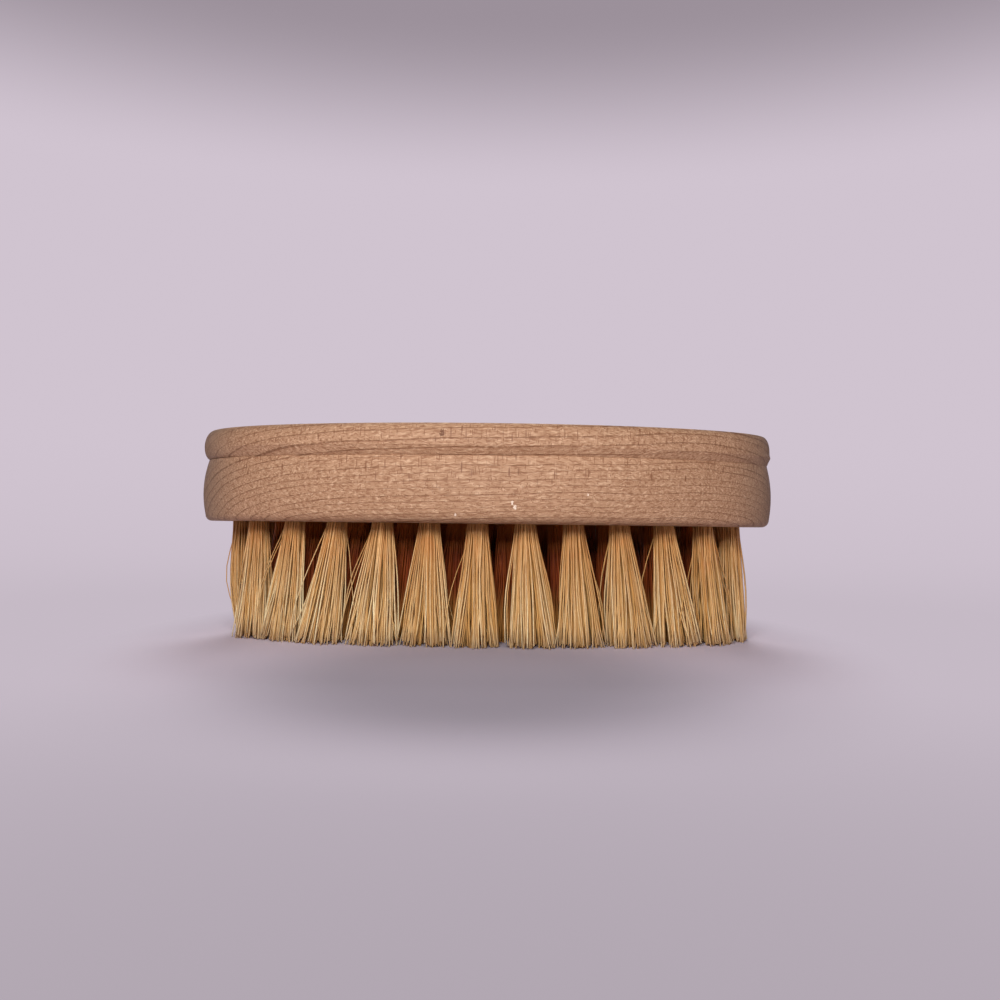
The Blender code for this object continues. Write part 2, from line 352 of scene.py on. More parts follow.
def between(pair, share):
    """Return the value between a pair's two, at a share of the way."""
    return pair[0] + (pair[1] - pair[0]) * share


def smooth(share):
    """Return a share clamped to 0 to 1 and eased at both ends."""
    share = max(0.0, min(1.0, share))
    return share * share * (3.0 - 2.0 * share)


def new_object(name, data):
    """Link a mesh, a lamp or a camera to the scene as an object."""
    made = bpy.data.objects.new(name, data)
    bpy.context.scene.collection.objects.link(made)
    return made


# Materials


class Shading:
    """A Principled material whose node tree is built in short steps."""

    def __init__(self, name):
        self.material = bpy.data.materials.new(name)
        self.material.use_nodes = True
        self.nodes = self.material.node_tree.nodes
        self.links = self.material.node_tree.links
        self.shader = self.nodes["Principled BSDF"]

    def put(self, socket, value):
        """Set a socket to a number or colour, or link it to another node's output."""
        if isinstance(value, bpy.types.NodeSocket):
            self.links.new(value, socket)
        elif isinstance(value, tuple) and len(value) == 3 and socket.type == "RGBA":
            socket.default_value = (*value, 1.0)
        else:
            socket.default_value = value

    def math(self, operation, *values, clamp=False):
        """Add a Math node."""
        node = self.nodes.new("ShaderNodeMath")
        node.operation = operation
        node.use_clamp = clamp
        for socket, value in zip(node.inputs, values):
            self.put(socket, value)
        return node.outputs[0]

    def reach(self, first, second):
        """Return the length of a flat vector from its two parts."""
        squares = self.math("MULTIPLY_ADD", first, first, self.math("MULTIPLY", second, second))
        return self.math("SQRT", squares)

    def combine(self, x, y, z):
        """Join three numbers into a vector."""
        node = self.nodes.new("ShaderNodeCombineXYZ")
        for socket, value in zip(node.inputs, (x, y, z)):
            self.put(socket, value)
        return node.outputs[0]

    def noise(self, vector, scale=1.0, detail=2.0, roughness=0.5):
        """Add a Noise texture and return its value, centred on a half."""
        node = self.nodes.new("ShaderNodeTexNoise")
        self.put(node.inputs["Vector"], vector)
        node.inputs["Scale"].default_value = scale
        node.inputs["Detail"].default_value = detail
        node.inputs["Roughness"].default_value = roughness
        return node.outputs[0]

    def cells(self, vector):
        """Add a Voronoi texture: return the distance to a cell's middle, and its own colour."""
        node = self.nodes.new("ShaderNodeTexVoronoi")
        self.put(node.inputs["Vector"], vector)
        node.inputs["Scale"].default_value = 1.0
        return node.outputs["Distance"], node.outputs["Color"]

    def between(self, value, low, high, to_low=0.0, to_high=1.0):
        """Map a range to another one, smoothly and with clamped ends."""
        node = self.nodes.new("ShaderNodeMapRange")
        node.interpolation_type = "SMOOTHSTEP"
        self.put(node.inputs["Value"], value)
        node.inputs["From Min"].default_value = low
        node.inputs["From Max"].default_value = high
        node.inputs["To Min"].default_value = to_low
        node.inputs["To Max"].default_value = to_high
        return node.outputs[0]

    def mix(self, factor, first, second):
        """Mix two colours."""
        node = self.nodes.new("ShaderNodeMix")
        node.data_type = "RGBA"
        self.put(node.inputs[0], factor)
        self.put(node.inputs[6], first)
        self.put(node.inputs[7], second)
        return node.outputs[2]

    def attribute(self, name):
        """Read a number stored on the mesh."""
        node = self.nodes.new("ShaderNodeAttribute")
        node.attribute_name = name
        return node.outputs["Fac"]

    def bump(self, height, distance, strength):
        """Link a height to the shader's normal."""
        node = self.nodes.new("ShaderNodeBump")
        node.inputs["Strength"].default_value = strength
        node.inputs["Distance"].default_value = distance
        self.put(node.inputs["Height"], height)
        self.links.new(node.outputs["Normal"], self.shader.inputs["Normal"])


def polar_place(wood, y, z, centre_y, centre_z, lift):
    """Return the radius and the turn, in radians, about a line along the block."""
    rise = wood.math("SUBTRACT", wood.math("SUBTRACT", z, centre_z), lift)
    reach = wood.math("SUBTRACT", y, centre_y)
    return wood.reach(rise, reach), wood.math("ARCTAN2", reach, rise)


def growth_lines(wood, x, y, z, lift):
    """Return two masks of the rings: late wood's slow rise in tone, and its thin dark line.

    The rings widen with their distance from the pith.
    """
    centre_y = wood.math("MULTIPLY_ADD", x, PITH_DRIFT, PITH_Y)
    radius, turn = polar_place(wood, y, z, centre_y, PITH_Z, lift)
    uneven_place = wood.combine(wood.math("MULTIPLY", x, RING_NOISE_ALONG), 0.0, radius)
    uneven = wood.noise(uneven_place, RING_NOISE_SCALE)
    rings = wood.math("MULTIPLY", wood.math("LOGARITHM", radius, math.e), RINGS_PER_SCALE)
    saw = wood.math("FRACT", wood.math("MULTIPLY_ADD", uneven, RING_UNEVENNESS, rings))
    drop = wood.between(saw, *RING_DROP, 1.0, 0.0)
    climb = wood.math("MULTIPLY", wood.between(saw, *LATE_WOOD), drop)
    along = wood.math("MULTIPLY", x, BREAK_ALONG)
    round_pith = wood.math("MULTIPLY", turn, BREAK_ROUND)
    break_place = wood.combine(along, round_pith, radius)
    breaks = wood.noise(break_place, BREAK_SCALE, detail=3.0, roughness=0.6)
    unbroken = wood.between(breaks, *BREAK_REACH, BREAK_LEAST, 1.0)
    line = wood.math("MULTIPLY", wood.between(saw, *DARK_LINE), drop)
    return climb, wood.math("MULTIPLY", line, unbroken)


def ray_flecks(wood, x, turn, radius, cell, fill, shift):
    """Return a mask of rays, one for each cell: separate ribbons, thin across the turn."""
    length, thickness, depth = cell
    place = wood.combine(
        wood.math("MULTIPLY_ADD", x, 1 / length, shift),
        wood.math("DIVIDE", turn, thickness / RAY_SPREAD),
        wood.math("DIVIDE", radius, depth),
    )
    distance, chance = wood.cells(place)
    spot = wood.between(distance, *fill, 1.0, 0.0)
    return wood.math("MULTIPLY", spot, wood.between(chance, *RAY_CHANCE))


def grain_noise(wood, x, y, z, kind):
    """Return noise that is drawn out along the grain."""
    along, scale, detail = kind
    return wood.noise(wood.combine(wood.math("MULTIPLY", x, along), y, z), scale, detail)


def ray_strength(wood, x, z):
    """Return how strongly the rays show: in groups, most on the shoulder and the top tier."""
    group_place = wood.combine(wood.math("MULTIPLY", x, RAY_GROUP_ALONG), 0.0, 0.0)
    groups = wood.noise(group_place, detail=1.0)
    grouped = wood.between(groups, *RAY_GROUP_REACH, *RAY_GROUP_SHARES)
    risen = wood.between(z, *RAY_RISE, RAY_LEAST, 1.0)
    from_gap = wood.math("ABSOLUTE", wood.math("SUBTRACT", z, RAY_GAP_Z))
    off_gap = wood.between(from_gap, *RAY_GAP_REACH, RAY_GAP_LEAST, 1.0)
    return wood.math("MULTIPLY", wood.math("MULTIPLY", grouped, risen), off_gap)


def near_mark(wood, x, y, z, mark):
    """Return a mask of one small ragged mark in the block's near side."""
    mark_x, mark_z, size = mark
    ragged = wood.noise(wood.combine(x, y, z), MARK_NOISE_SCALE)
    across = wood.math("DIVIDE", wood.math("SUBTRACT", x, mark_x), size)
    up = wood.math("DIVIDE", wood.math("SUBTRACT", z, mark_z), size * MARK_TALLNESS)
    squares = wood.math("MULTIPLY_ADD", across, across, wood.math("MULTIPLY", up, up))
    off_even = wood.math("SUBTRACT", ragged, 0.5)
    reach = wood.math("MULTIPLY_ADD", off_even, MARK_RAGGEDNESS, squares)
    spot = wood.between(reach, *MARK_EDGE, 1.0, 0.0)
    return wood.math("MULTIPLY", spot, wood.math("LESS_THAN", y, 0.0))


def wood_material():
    """Beech, cut near its rays: fine growth lines, ray flecks and a faint fuzz, with painted
    highlights beside the vessels and on some flecks, and painted shade and a painted grey
    reflection toward the ends.
    """
    wood = Shading("beech")
    place = wood.nodes.new("ShaderNodeTexCoord").outputs["Object"]
    split = wood.nodes.new("ShaderNodeSeparateXYZ")
    wood.links.new(place, split.inputs[0])
    x, y, z = (wood.math("MULTIPLY", split.outputs[axis], 1 / MM) for axis in range(3))

    wander = grain_noise(wood, x, y, z, GRAIN_NOISE)
    lift = wood.math("MULTIPLY_ADD", x, GRAIN_SLOPE, wood.math("MULTIPLY", wander, GRAIN_WANDER))
    climb, line = growth_lines(wood, x, y, z, lift)
    radius, turn = polar_place(wood, y, z, RAY_CENTRE_Y, RAY_CENTRE_Z, lift)
    sway = grain_noise(wood, x, y, z, SWAY_NOISE)
    turn = wood.math("MULTIPLY_ADD", sway, RAY_SWAY, turn)
    rays = ray_flecks(wood, x, turn, radius, RAY_CELL, RAY_FILL, RAY_SHIFT)
    dashes = ray_flecks(wood, x, turn, radius, DASH_CELL, DASH_FILL, DASH_SHIFT)
    # Painted highlights: pale flecks laid like rays, their gleam painted into the colour
    gleam = ray_flecks(wood, x, turn, radius, RAY_CELL, RAY_FILL, GLEAM_SHIFT)
    dark_rays = wood.math("MULTIPLY", rays, ray_strength(wood, x, z))

    # Vessels: minute wavy dashes along the grain, each dark one with a pale one beside it, the
    # pale one a painted highlight on the raised fibres
    wave = grain_noise(wood, x, y, z, WAVE_NOISE)
    waved_z = wood.math("MULTIPLY_ADD", wave, VESSEL_WAVE, z)
    vessel_place = wood.combine(wood.math("MULTIPLY", x, VESSEL_ALONG), y, waved_z)
    streaks = wood.noise(vessel_place, VESSEL_SCALE, detail=1.5, roughness=0.6)
    vessels = wood.between(streaks, *VESSEL_REACH)
    pale = wood.between(streaks, *PAINTED_HIGHLIGHT_REACH, 1.0, 0.0)

    clouds = grain_noise(wood, x, y, z, CLOUD_NOISE)
    colour = wood.mix(clouds, *BEECH)
    marks = (
        (climb, LATE_WOOD_TONE),
        (vessels, VESSEL_TONE),
        (pale, PAINTED_HIGHLIGHT_TONE),
        (gleam, GLEAM_TONE),
        (dashes, DASH_TONE),
        (dark_rays, RAY_TONE),
        (line, LINE_TONE),
    )
    for mask, (strength, tone) in marks:
        colour = wood.mix(wood.math("MULTIPLY", mask, strength), colour, tone)
    from_middle = wood.math("ABSOLUTE", x)
    # Toward the ends: end grain's deeper tone with painted shade and a painted grey reflection
    end_grain_and_shade = wood.between(from_middle, *END_GRAIN_AND_SHADE_REACH, 0.0, END_GRAIN_AND_SHADE_SHARE)
    colour = wood.mix(end_grain_and_shade, colour, END_GRAIN_AND_SHADE_COLOUR)
    colour = wood.mix(near_mark(wood, x, y, z, KNOT), colour, KNOT_COLOUR)
    for nick in NICKS:
        colour = wood.mix(near_mark(wood, x, y, z, nick), colour, NICK_COLOUR)
    wood.put(wood.shader.inputs["Base Color"], colour)
    roughness = wood.between(rays, 0.0, 1.0, *WOOD_ROUGHNESS)
    wood.put(wood.shader.inputs["Roughness"], roughness)
    wood.shader.inputs["Specular IOR Level"].default_value = WOOD_SPECULAR
    height = wood.math("MULTIPLY", line, LINE_SINK)
    height = wood.math("MULTIPLY_ADD", vessels, VESSEL_SINK, height)
    height = wood.math("MULTIPLY_ADD", dashes, DASH_SINK, height)
    wood.bump(height, WOOD_RELIEF, WOOD_RELIEF_STRENGTH)
    return wood.material


def bristle_material():
    """Stiff straw-coloured plant fibre, amber at the root and paler to the tip, the roots darker
    as painted shade under the block and the very tips paler as painted light, with painted shade
    inside the tufts and in the inner rows, and a painted glow at the inner roots.
    """
    fibre = Shading("plant_fibre")
    tone = fibre.attribute("fibre_tone")
    along = fibre.attribute("fibre_along")
    painted_shade = fibre.attribute("fibre_painted_shade")
    place = fibre.nodes.new("ShaderNodeTexCoord").outputs["Object"]
    streaks = fibre.noise(place, STREAK_SCALE)
    stain = fibre.between(fibre.noise(place, STAIN_SCALE), *STAIN_REACH)
    paling = fibre.between(along, *PALING)

    # Darker roots: painted shade under the block
    root = fibre.mix(tone, *ROOT_PAINTED_SHADE_COLOURS)
    root = fibre.mix(fibre.math("MULTIPLY", stain, STAIN_SHARE), root, STAIN_COLOUR)
    tip = fibre.mix(tone, *TIP_COLOURS)
    colour = fibre.mix(paling, root, tip)
    # Painted light pales the very tips
    last = fibre.between(along, *TIP_PAINTED_LIGHT_REACH, 0.0, TIP_PAINTED_LIGHT_SHARE)
    colour = fibre.mix(last, colour, TIP_PAINTED_LIGHT_COLOUR)
    streaked = fibre.between(streaks, *STREAK_REACH, 0.0, STREAK_SHARE)
    colour = fibre.mix(streaked, colour, STREAK_COLOUR)
    # Painted shade on the fibres inside a tuft
    colour = fibre.mix(painted_shade, colour, fibre.mix(paling, *INSIDE_PAINTED_SHADE_COLOURS))

    # The inner rows are painted in deep shade, warmer and deeper but for their tips, with a
    # painted glow at the root
    inner = fibre.mix(tone, *INNER_PAINTED_SHADE_COLOURS)
    inner = fibre.mix(fibre.between(along, *INNER_ROOT), INNER_PAINTED_GLOW_COLOUR, inner)
    inner = fibre.mix(fibre.between(along, *INNER_TIP), inner, INNER_TIP_COLOUR)
    colour = fibre.mix(fibre.between(painted_shade, *INNER_CORE), colour, inner)

    fibre.put(fibre.shader.inputs["Base Color"], colour)
    roughness = fibre.between(streaks, *SHEEN_REACH, *FIBRE_ROUGHNESS)
    fibre.put(fibre.shader.inputs["Roughness"], roughness)
    specular = fibre.math("MULTIPLY_ADD", painted_shade, CORE_SPECULAR_CHANGE, FIBRE_SPECULAR)
    fibre.put(fibre.shader.inputs["Specular IOR Level"], specular)
    return fibre.material


def wire_material():
    """Bright steel wire of the anchors."""
    steel = Shading("anchor_steel")
    place = steel.nodes.new("ShaderNodeTexCoord").outputs["Object"]
    drawn = steel.noise(place, STEEL_SCALE)
    steel.put(steel.shader.inputs["Base Color"], steel.mix(drawn, *STEEL_COLOURS))
    roughness = steel.between(drawn, *SHEEN_REACH, *STEEL_ROUGHNESS)
    steel.put(steel.shader.inputs["Roughness"], roughness)
    steel.shader.inputs["Metallic"].default_value = 1.0
    return steel.material


def floor_material():
    """Matt pale lilac paper, lit where the brush stands and of a set paleness further off. Near
    the brush it has painted shade that evens out the key lamp's pool of light and a painted
    shadow in front; further off it has a painted shadow near the key lamp's foot and painted
    shade at the wall's top.
    """
    paper = Shading("pale_paper")
    place = paper.nodes.new("ShaderNodeTexCoord").outputs["Object"]
    split = paper.nodes.new("ShaderNodeSeparateXYZ")
    paper.links.new(place, split.inputs[0])
    x, y, z = split.outputs
    to_floor = paper.reach(paper.math("MULTIPLY", x, SIDE_STRETCH), y)
    far = paper.between(to_floor, NEAR_FLOOR, FAR_FLOOR)
    rise = paper.math("ARCTAN2", paper.math("SUBTRACT", z, EYE_HEIGHT), paper.reach(x, y))
    low, middle, high = BACKDROP_COLOURS
    pale = paper.mix(paper.between(rise, *BACKDROP_RISE), low, middle)
    # Painted shade darkens the wall's top
    pale = paper.mix(paper.between(rise, *BACKDROP_TOP_SHADE), pale, high)
    # Painted shadow on the backdrop about the key lamp's foot, and the floor's painted shade,
    # both go by this distance
    to_shade_place = paper.reach(x, paper.math("SUBTRACT", y, SHADE_PLACE_Y))
    backdrop_shadow = paper.between(to_shade_place, 0.0, BACKDROP_SHADOW_RADIUS, 1.0 - BACKDROP_SHADOW_SHARE, 1.0)
    rays = paper.nodes.new("ShaderNodeLightPath").outputs
    seen = paper.math("ADD", rays["Is Camera Ray"], rays["Is Glossy Ray"])
    seen = paper.math("ADD", seen, rays["Is Transmission Ray"], clamp=True)
    backdrop = paper.math("MULTIPLY", far, seen)
    # Painted shadow: the floor in front of the brush is darkened
    aside = paper.math("MULTIPLY", x, PAINTED_SHADOW_STRETCH)
    to_painted_shadow = paper.reach(aside, paper.math("SUBTRACT", y, PAINTED_SHADOW_PLACE_Y))
    painted_shadow = paper.between(to_painted_shadow, *PAINTED_SHADOW_REACH, PAINTED_SHADOW_SHARE, 0.0)
    # Painted shade: the floor is darker near the key lamp's foot, evening out its pool of light
    matt = paper.mix(paper.between(to_shade_place, *FLOOR_PAINTED_SHADE_REACH), *FLOOR_PAINTED_SHADE_COLOURS)
    matt = paper.mix(painted_shadow, matt, BLACK)
    paper.put(paper.shader.inputs["Base Color"], paper.mix(backdrop, matt, BLACK))
    paper.put(paper.shader.inputs["Emission Color"], pale)
    paper.put(paper.shader.inputs["Emission Strength"], paper.math("MULTIPLY", backdrop, backdrop_shadow))
    paper.shader.inputs["Roughness"].default_value = PAPER_ROUGHNESS
    paper.shader.inputs["Specular IOR Level"].default_value = 0.0
    return paper.material


# Block


def bulge_inset(radius, rise):
    """Return how far a bulged side falls back at a height off its widest line."""
    return radius - math.sqrt(radius ** 2 - rise ** 2)


def wall_inset(rise, height, chin_depth):
    """Return how far the upper tier's side falls back at a rise over the groove."""
    fall = max(0.0, 1.0 - rise / height)
    return chin_depth * (1.0 - math.sqrt(1.0 - fall ** 2))


def block_section(share):
    """Return the block's side in section, share going from the -X end to the +X end."""
    edge = between(LOWER_EDGE_RADIUS, share) + LOWER_EDGE_MIDDLE * 4.0 * share * (1.0 - share)
    set_back = between(UPPER_SET_BACK, share ** UPPER_SET_BACK_POWER)
    drop = between(TOP_EDGE_DROP, share)
    top_width = between(TOP_EDGE_WIDTH, share)
    barrel = between(BARREL_RADIUS, share ** BARREL_POWER)
    from_end = math.acos(1.0 - 2.0 * share)
    cove = smooth((from_end - COVE_START) / (COVE_FULL - COVE_START))
    arris = max(COVE_LEAST, between(COVE_HEIGHT, share) * cove)
    lip = LIP * share ** LIP_POWER
    edge_inset = bulge_inset(barrel, BARREL_HEIGHT - edge) + edge
    points = []
    for step in range(LOWER_EDGE_STEPS + 1):
        angle = math.pi / 2 * step / LOWER_EDGE_STEPS
        points.append((edge_inset - edge * math.sin(angle), edge - edge * math.cos(angle)))
    for step in range(1, BARREL_STEPS + 1):
        height = edge + (GROOVE_HEIGHT - edge) * step / BARREL_STEPS
        points.append((bulge_inset(barrel, height - BARREL_HEIGHT), height))
    groove_inset = points[-1][0] + GROOVE_DEPTH * (1.0 - share ** GROOVE_POWER)
    points.append((groove_inset, GROOVE_HEIGHT + GROOVE_FLOOR / 2))

    start = GROOVE_HEIGHT + GROOVE_FLOOR
    wall = THICKNESS - drop - start
    chin_depth = (groove_inset - set_back) * (1.0 - cove)
    arris_inset = set_back + wall_inset(arris, wall, chin_depth)
    for step in range(COVE_STEPS + 1):
        climb = step / COVE_STEPS
        inset = groove_inset - (groove_inset - arris_inset) * climb ** COVE_HOLLOW
        bead = lip * math.exp(-((arris * (1.0 - climb) / LIP_SIZE) ** 2))
        points.append((inset - bead, start + arris * climb))
    for step in range(1, FLANK_STEPS + 1):
        rise = arris + (wall - arris) * (step / FLANK_STEPS) ** FLANK_CROWDING
        bead = lip * math.exp(-(((rise - arris) / LIP_SIZE) ** 2))
        points.append((set_back + wall_inset(rise, wall, chin_depth) - bead, start + rise))
    for step in range(1, TOP_EDGE_STEPS + 1):
        angle = math.pi / 2 * step / TOP_EDGE_STEPS
        inset = set_back + top_width * (1.0 - math.cos(angle))
        points.append((inset, THICKNESS - drop + drop * math.sin(angle)))
    return points


def wander(angle, seed):
    """Return a smooth value round the block, from about -1 to 1, that joins up with itself."""
    total = 0.0
    for wave in WANDER_WAVES:
        total += math.sin(wave * angle + seed * wave * WANDER_SHIFT) / wave
    return total


def block_mesh():
    """Loft the block's fine outer surface from its sections round the oval."""
    bm = bmesh.new()
    columns = []
    for segment in range(OUTLINE_SEGMENTS):
        angle = math.tau * segment / OUTLINE_SEGMENTS
        outward = Vector((math.cos(angle) / HALF_LENGTH, math.sin(angle) / HALF_WIDTH, 0.0))
        outward.normalize()
        rim = Vector((HALF_LENGTH * math.cos(angle), HALF_WIDTH * math.sin(angle), 0.0))
        share = (1.0 + math.cos(angle)) / 2
        column = []
        for inset, height in block_section(share):
            closeness = math.exp(-(((height - GROOVE_HEIGHT) / GROOVE_WANDER_REACH) ** 2))
            shift = GROOVE_WANDER * wander(angle, GROOVE_WANDER_SEED) * closeness
            sway = EDGE_WANDER * wander(angle, EDGE_WANDER_SEED) * height / THICKNESS
            place = rim - (inset + abs(sway)) * outward
            place.z = UNDERSIDE + height + shift
            column.append(bm.verts.new(place))
        columns.append(column)
    for column, following in zip(columns, columns[1:] + columns[:1]):
        for low in range(len(column) - 1):
            corners = (column[low], following[low], following[low + 1], column[low + 1])
            bm.faces.new(corners)
    bm.faces.new([column[0] for column in reversed(columns)])
    bm.faces.new([column[-1] for column in columns])
    mesh = bpy.data.meshes.new("beech_block")
    bm.to_mesh(mesh)
    bm.free()
    return mesh


def hole_drills(places):
    """Return one object that holds a straight drill for each tuft hole."""
    bm = bmesh.new()
    for root in places:
        mouth = Matrix.Translation((root.x, root.y, UNDERSIDE))
        bmesh.ops.create_cone(
            bm, cap_ends=True, segments=HOLE_SEGMENTS, radius1=HOLE_RADIUS,
            radius2=HOLE_RADIUS, depth=2 * HOLE_DEPTH, matrix=mouth,
        )
    mesh = bpy.data.meshes.new("hole_drills")
    bm.to_mesh(mesh)
    bm.free()
    return new_object("hole_drills", mesh)


def make_block(places, material):
    """Make the block with its tuft holes and shade it smooth but for its crisp edges."""
    block = new_object("beech_block", block_mesh())
    drills = hole_drills(places)
    cut = block.modifiers.new("tuft_holes", "BOOLEAN")
    cut.operation = "DIFFERENCE"
    cut.solver = "EXACT"
    cut.object = drills
    evaluated = block.evaluated_get(bpy.context.evaluated_depsgraph_get())
    drilled = bpy.data.meshes.new_from_object(evaluated)
    block.modifiers.clear()
    block.data = drilled
    bpy.data.objects.remove(drills, do_unlink=True)
    drilled.shade_smooth()
    drilled.set_sharp_from_angle(angle=SHARP_ANGLE)
    drilled.materials.clear()
    drilled.materials.append(material)
    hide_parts("block")
    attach(block, "root")


# Tufts


def tuft_places(node):
    """Return a tuft node's root and the middle of its tips, from its own mesh."""
    corners = np.array([vertex.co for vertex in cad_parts[node].data.vertices])
    in_hole = corners[corners[:, 2] > UNDERSIDE + HOLE_DEPTH / 2]
    tips = corners[corners[:, 2] < TIP_BAND]
    root = (in_hole.min(axis=0) + in_hole.max(axis=0)) / 2
    tip = (tips.min(axis=0) + tips.max(axis=0)) / 2
    return Vector(root), Vector(tip)


def packed_disc(count):
    """Return evenly packed points in a unit disc."""
    golden = math.pi * (3.0 - math.sqrt(5.0))
    radii = np.sqrt((np.arange(count) + 0.5) / count)
    turns = np.arange(count) * golden
    return np.stack([radii * np.cos(turns), radii * np.sin(turns)], axis=1)


def outward(place):
    """Return the level direction that points straight out of the block's oval."""
    direction = Vector((place.x / HALF_LENGTH ** 2, place.y / HALF_WIDTH ** 2))
    return np.array(direction.normalized())


def free_path(root, tip, bow, wave, height):
    """Return the points of one fibre's free part, from its hole's mouth to its tip."""
    share = np.linspace(0.0, 1.0, FREE_STEPS + 1)
    curve = share ** SPREAD_CURVE
    arch = np.sin(np.pi * share ** FIBRE_BOW_POWER)
    ripple = np.sin(math.tau * share * FIBRE_WAVES + wave[2]) * np.sqrt(share)
    path = np.zeros((FREE_STEPS + 1, 3))
    for axis in (0, 1):
        path[:, axis] = root[axis] + (tip[axis] - root[axis]) * curve
        path[:, axis] += bow[axis] * arch + wave[axis] * ripple
    path[:, 2] = UNDERSIDE + (height - UNDERSIDE) * share
    return path


def fold_path(start, end):
    """Return the points over the anchor wire, from one side of the hole to the other."""
    layer = abs(end[1] - start[1]) / 2
    middle = ((start[0] + end[0]) / 2, (start[1] + end[1]) / 2)
    points = []
    for step in range(FOLD_STEPS + 1):
        angle = math.pi * step / FOLD_STEPS
        lift = math.sin(angle) * (FOLD_ROOM + FOLD_ROUNDNESS * layer)
        side = -math.cos(angle) * layer
        points.append((middle[0], middle[1] + side, UNDERSIDE + WIRE_DEPTH + lift))
    return np.array(points)


def fibre_tube(path, radii, first):
    """Return the corners and faces of one fibre, a thin tube with flat ends."""
    count = len(path)
    tangents = np.gradient(path, axis=0)
    tangents /= np.linalg.norm(tangents, axis=1)[:, None]
    side = np.cross(tangents, (1.0, 0.0, 0.0))
    side /= np.linalg.norm(side, axis=1)[:, None]
    other = np.cross(tangents, side)
    corners = []
    for corner in range(FIBRE_SIDES):
        angle = math.tau * corner / FIBRE_SIDES
        offset = math.cos(angle) * side + math.sin(angle) * other
        corners.append(path + offset * radii[:, None])
    corners = np.stack(corners, axis=1)
    corners[0, :, 2] = path[0, 2]
    corners[-1, :, 2] = path[-1, 2]
    faces = []
    for ring in range(count - 1):
        base = first + ring * FIBRE_SIDES
        for corner in range(FIBRE_SIDES):
            following = (corner + 1) % FIBRE_SIDES
            faces.append((base + corner, base + following,
                          base + FIBRE_SIDES + following, base + FIBRE_SIDES + corner))
    faces.append(tuple(first + corner for corner in reversed(range(FIBRE_SIDES))))
    last = first + (count - 1) * FIBRE_SIDES
    faces.append(tuple(last + corner for corner in range(FIBRE_SIDES)))
    return corners.reshape(-1, 3), faces


class Tuft:
    """One tuft's own places and habits, which all its fibres share."""

    def __init__(self, node, order, near_lean):
        self.random = np.random.default_rng(TUFT_SEED + order)
        root, tip = tuft_places(node)
        if near_lean is not None:
            tip.x = root.x + near_lean * MM
        self.root = np.array(root[:2])
        self.tip = np.array(tip[:2]) + self.random.normal(0.0, TUFT_WANDER, 2)
        self.out = outward(root)
        self.clumps = self.random.uniform(-CLUMP_REACH, CLUMP_REACH, (CLUMPS, 2))
        self.tone = self.random.random()
        past_start = abs(root.x) / HALF_LENGTH - END_BOW_START
        at_end = smooth(past_start / (1.0 - END_BOW_START) * END_BOW_SPEED)
        self.reach = between((TIP_REACH, END_REACH), at_end)
        if not node.startswith("tuft_outer_"):
            self.reach = INNER_REACH
        bow = END_BOW * at_end if root.x < 0.0 else 0.0
        self.bow = np.array((-bow, 0.0))

    def held_in(self, offset, share):
        """Return an offset with its part that points out of the oval cut to a share."""
        reach = float(offset @ self.out)
        return offset - (1.0 - share) * max(0.0, reach) * self.out

    def tip_offset(self, offset):
        """Return where a fibre's tip lies round the tuft's own middle."""
        nearest = self.clumps[np.argmin(np.linalg.norm(self.clumps - offset, axis=1))]
        offset = offset + CLUMPING * (nearest - offset)
        return self.held_in(offset, OUTWARD_SPREAD) * self.reach

    def fibre(self, offset, stray):
        """Return the free path of the fibre at a place in the root's unit disc."""
        random = self.random
        start = self.root + offset * ROOT_RADIUS
        scatter = random.normal(0.0, TIP_SCATTER, 2)
        height = random.random() ** TIP_RAGGED_POWER * TIP_RAGGED
        bow = random.normal(0.0, FIBRE_BOW, 2)
        if stray:
            scatter = self.held_in(random.normal(0.0, STRAY_SCATTER, 2), 0.0)
            height += random.random() * STRAY_SHORT
            bow *= STRAY_BOW
        finish = self.tip + self.tip_offset(offset) + scatter
        bow += self.bow
        wave = (*random.normal(0.0, FIBRE_WAVE, 2), random.uniform(0.0, math.tau))
        return free_path(start, finish, bow, wave, height)


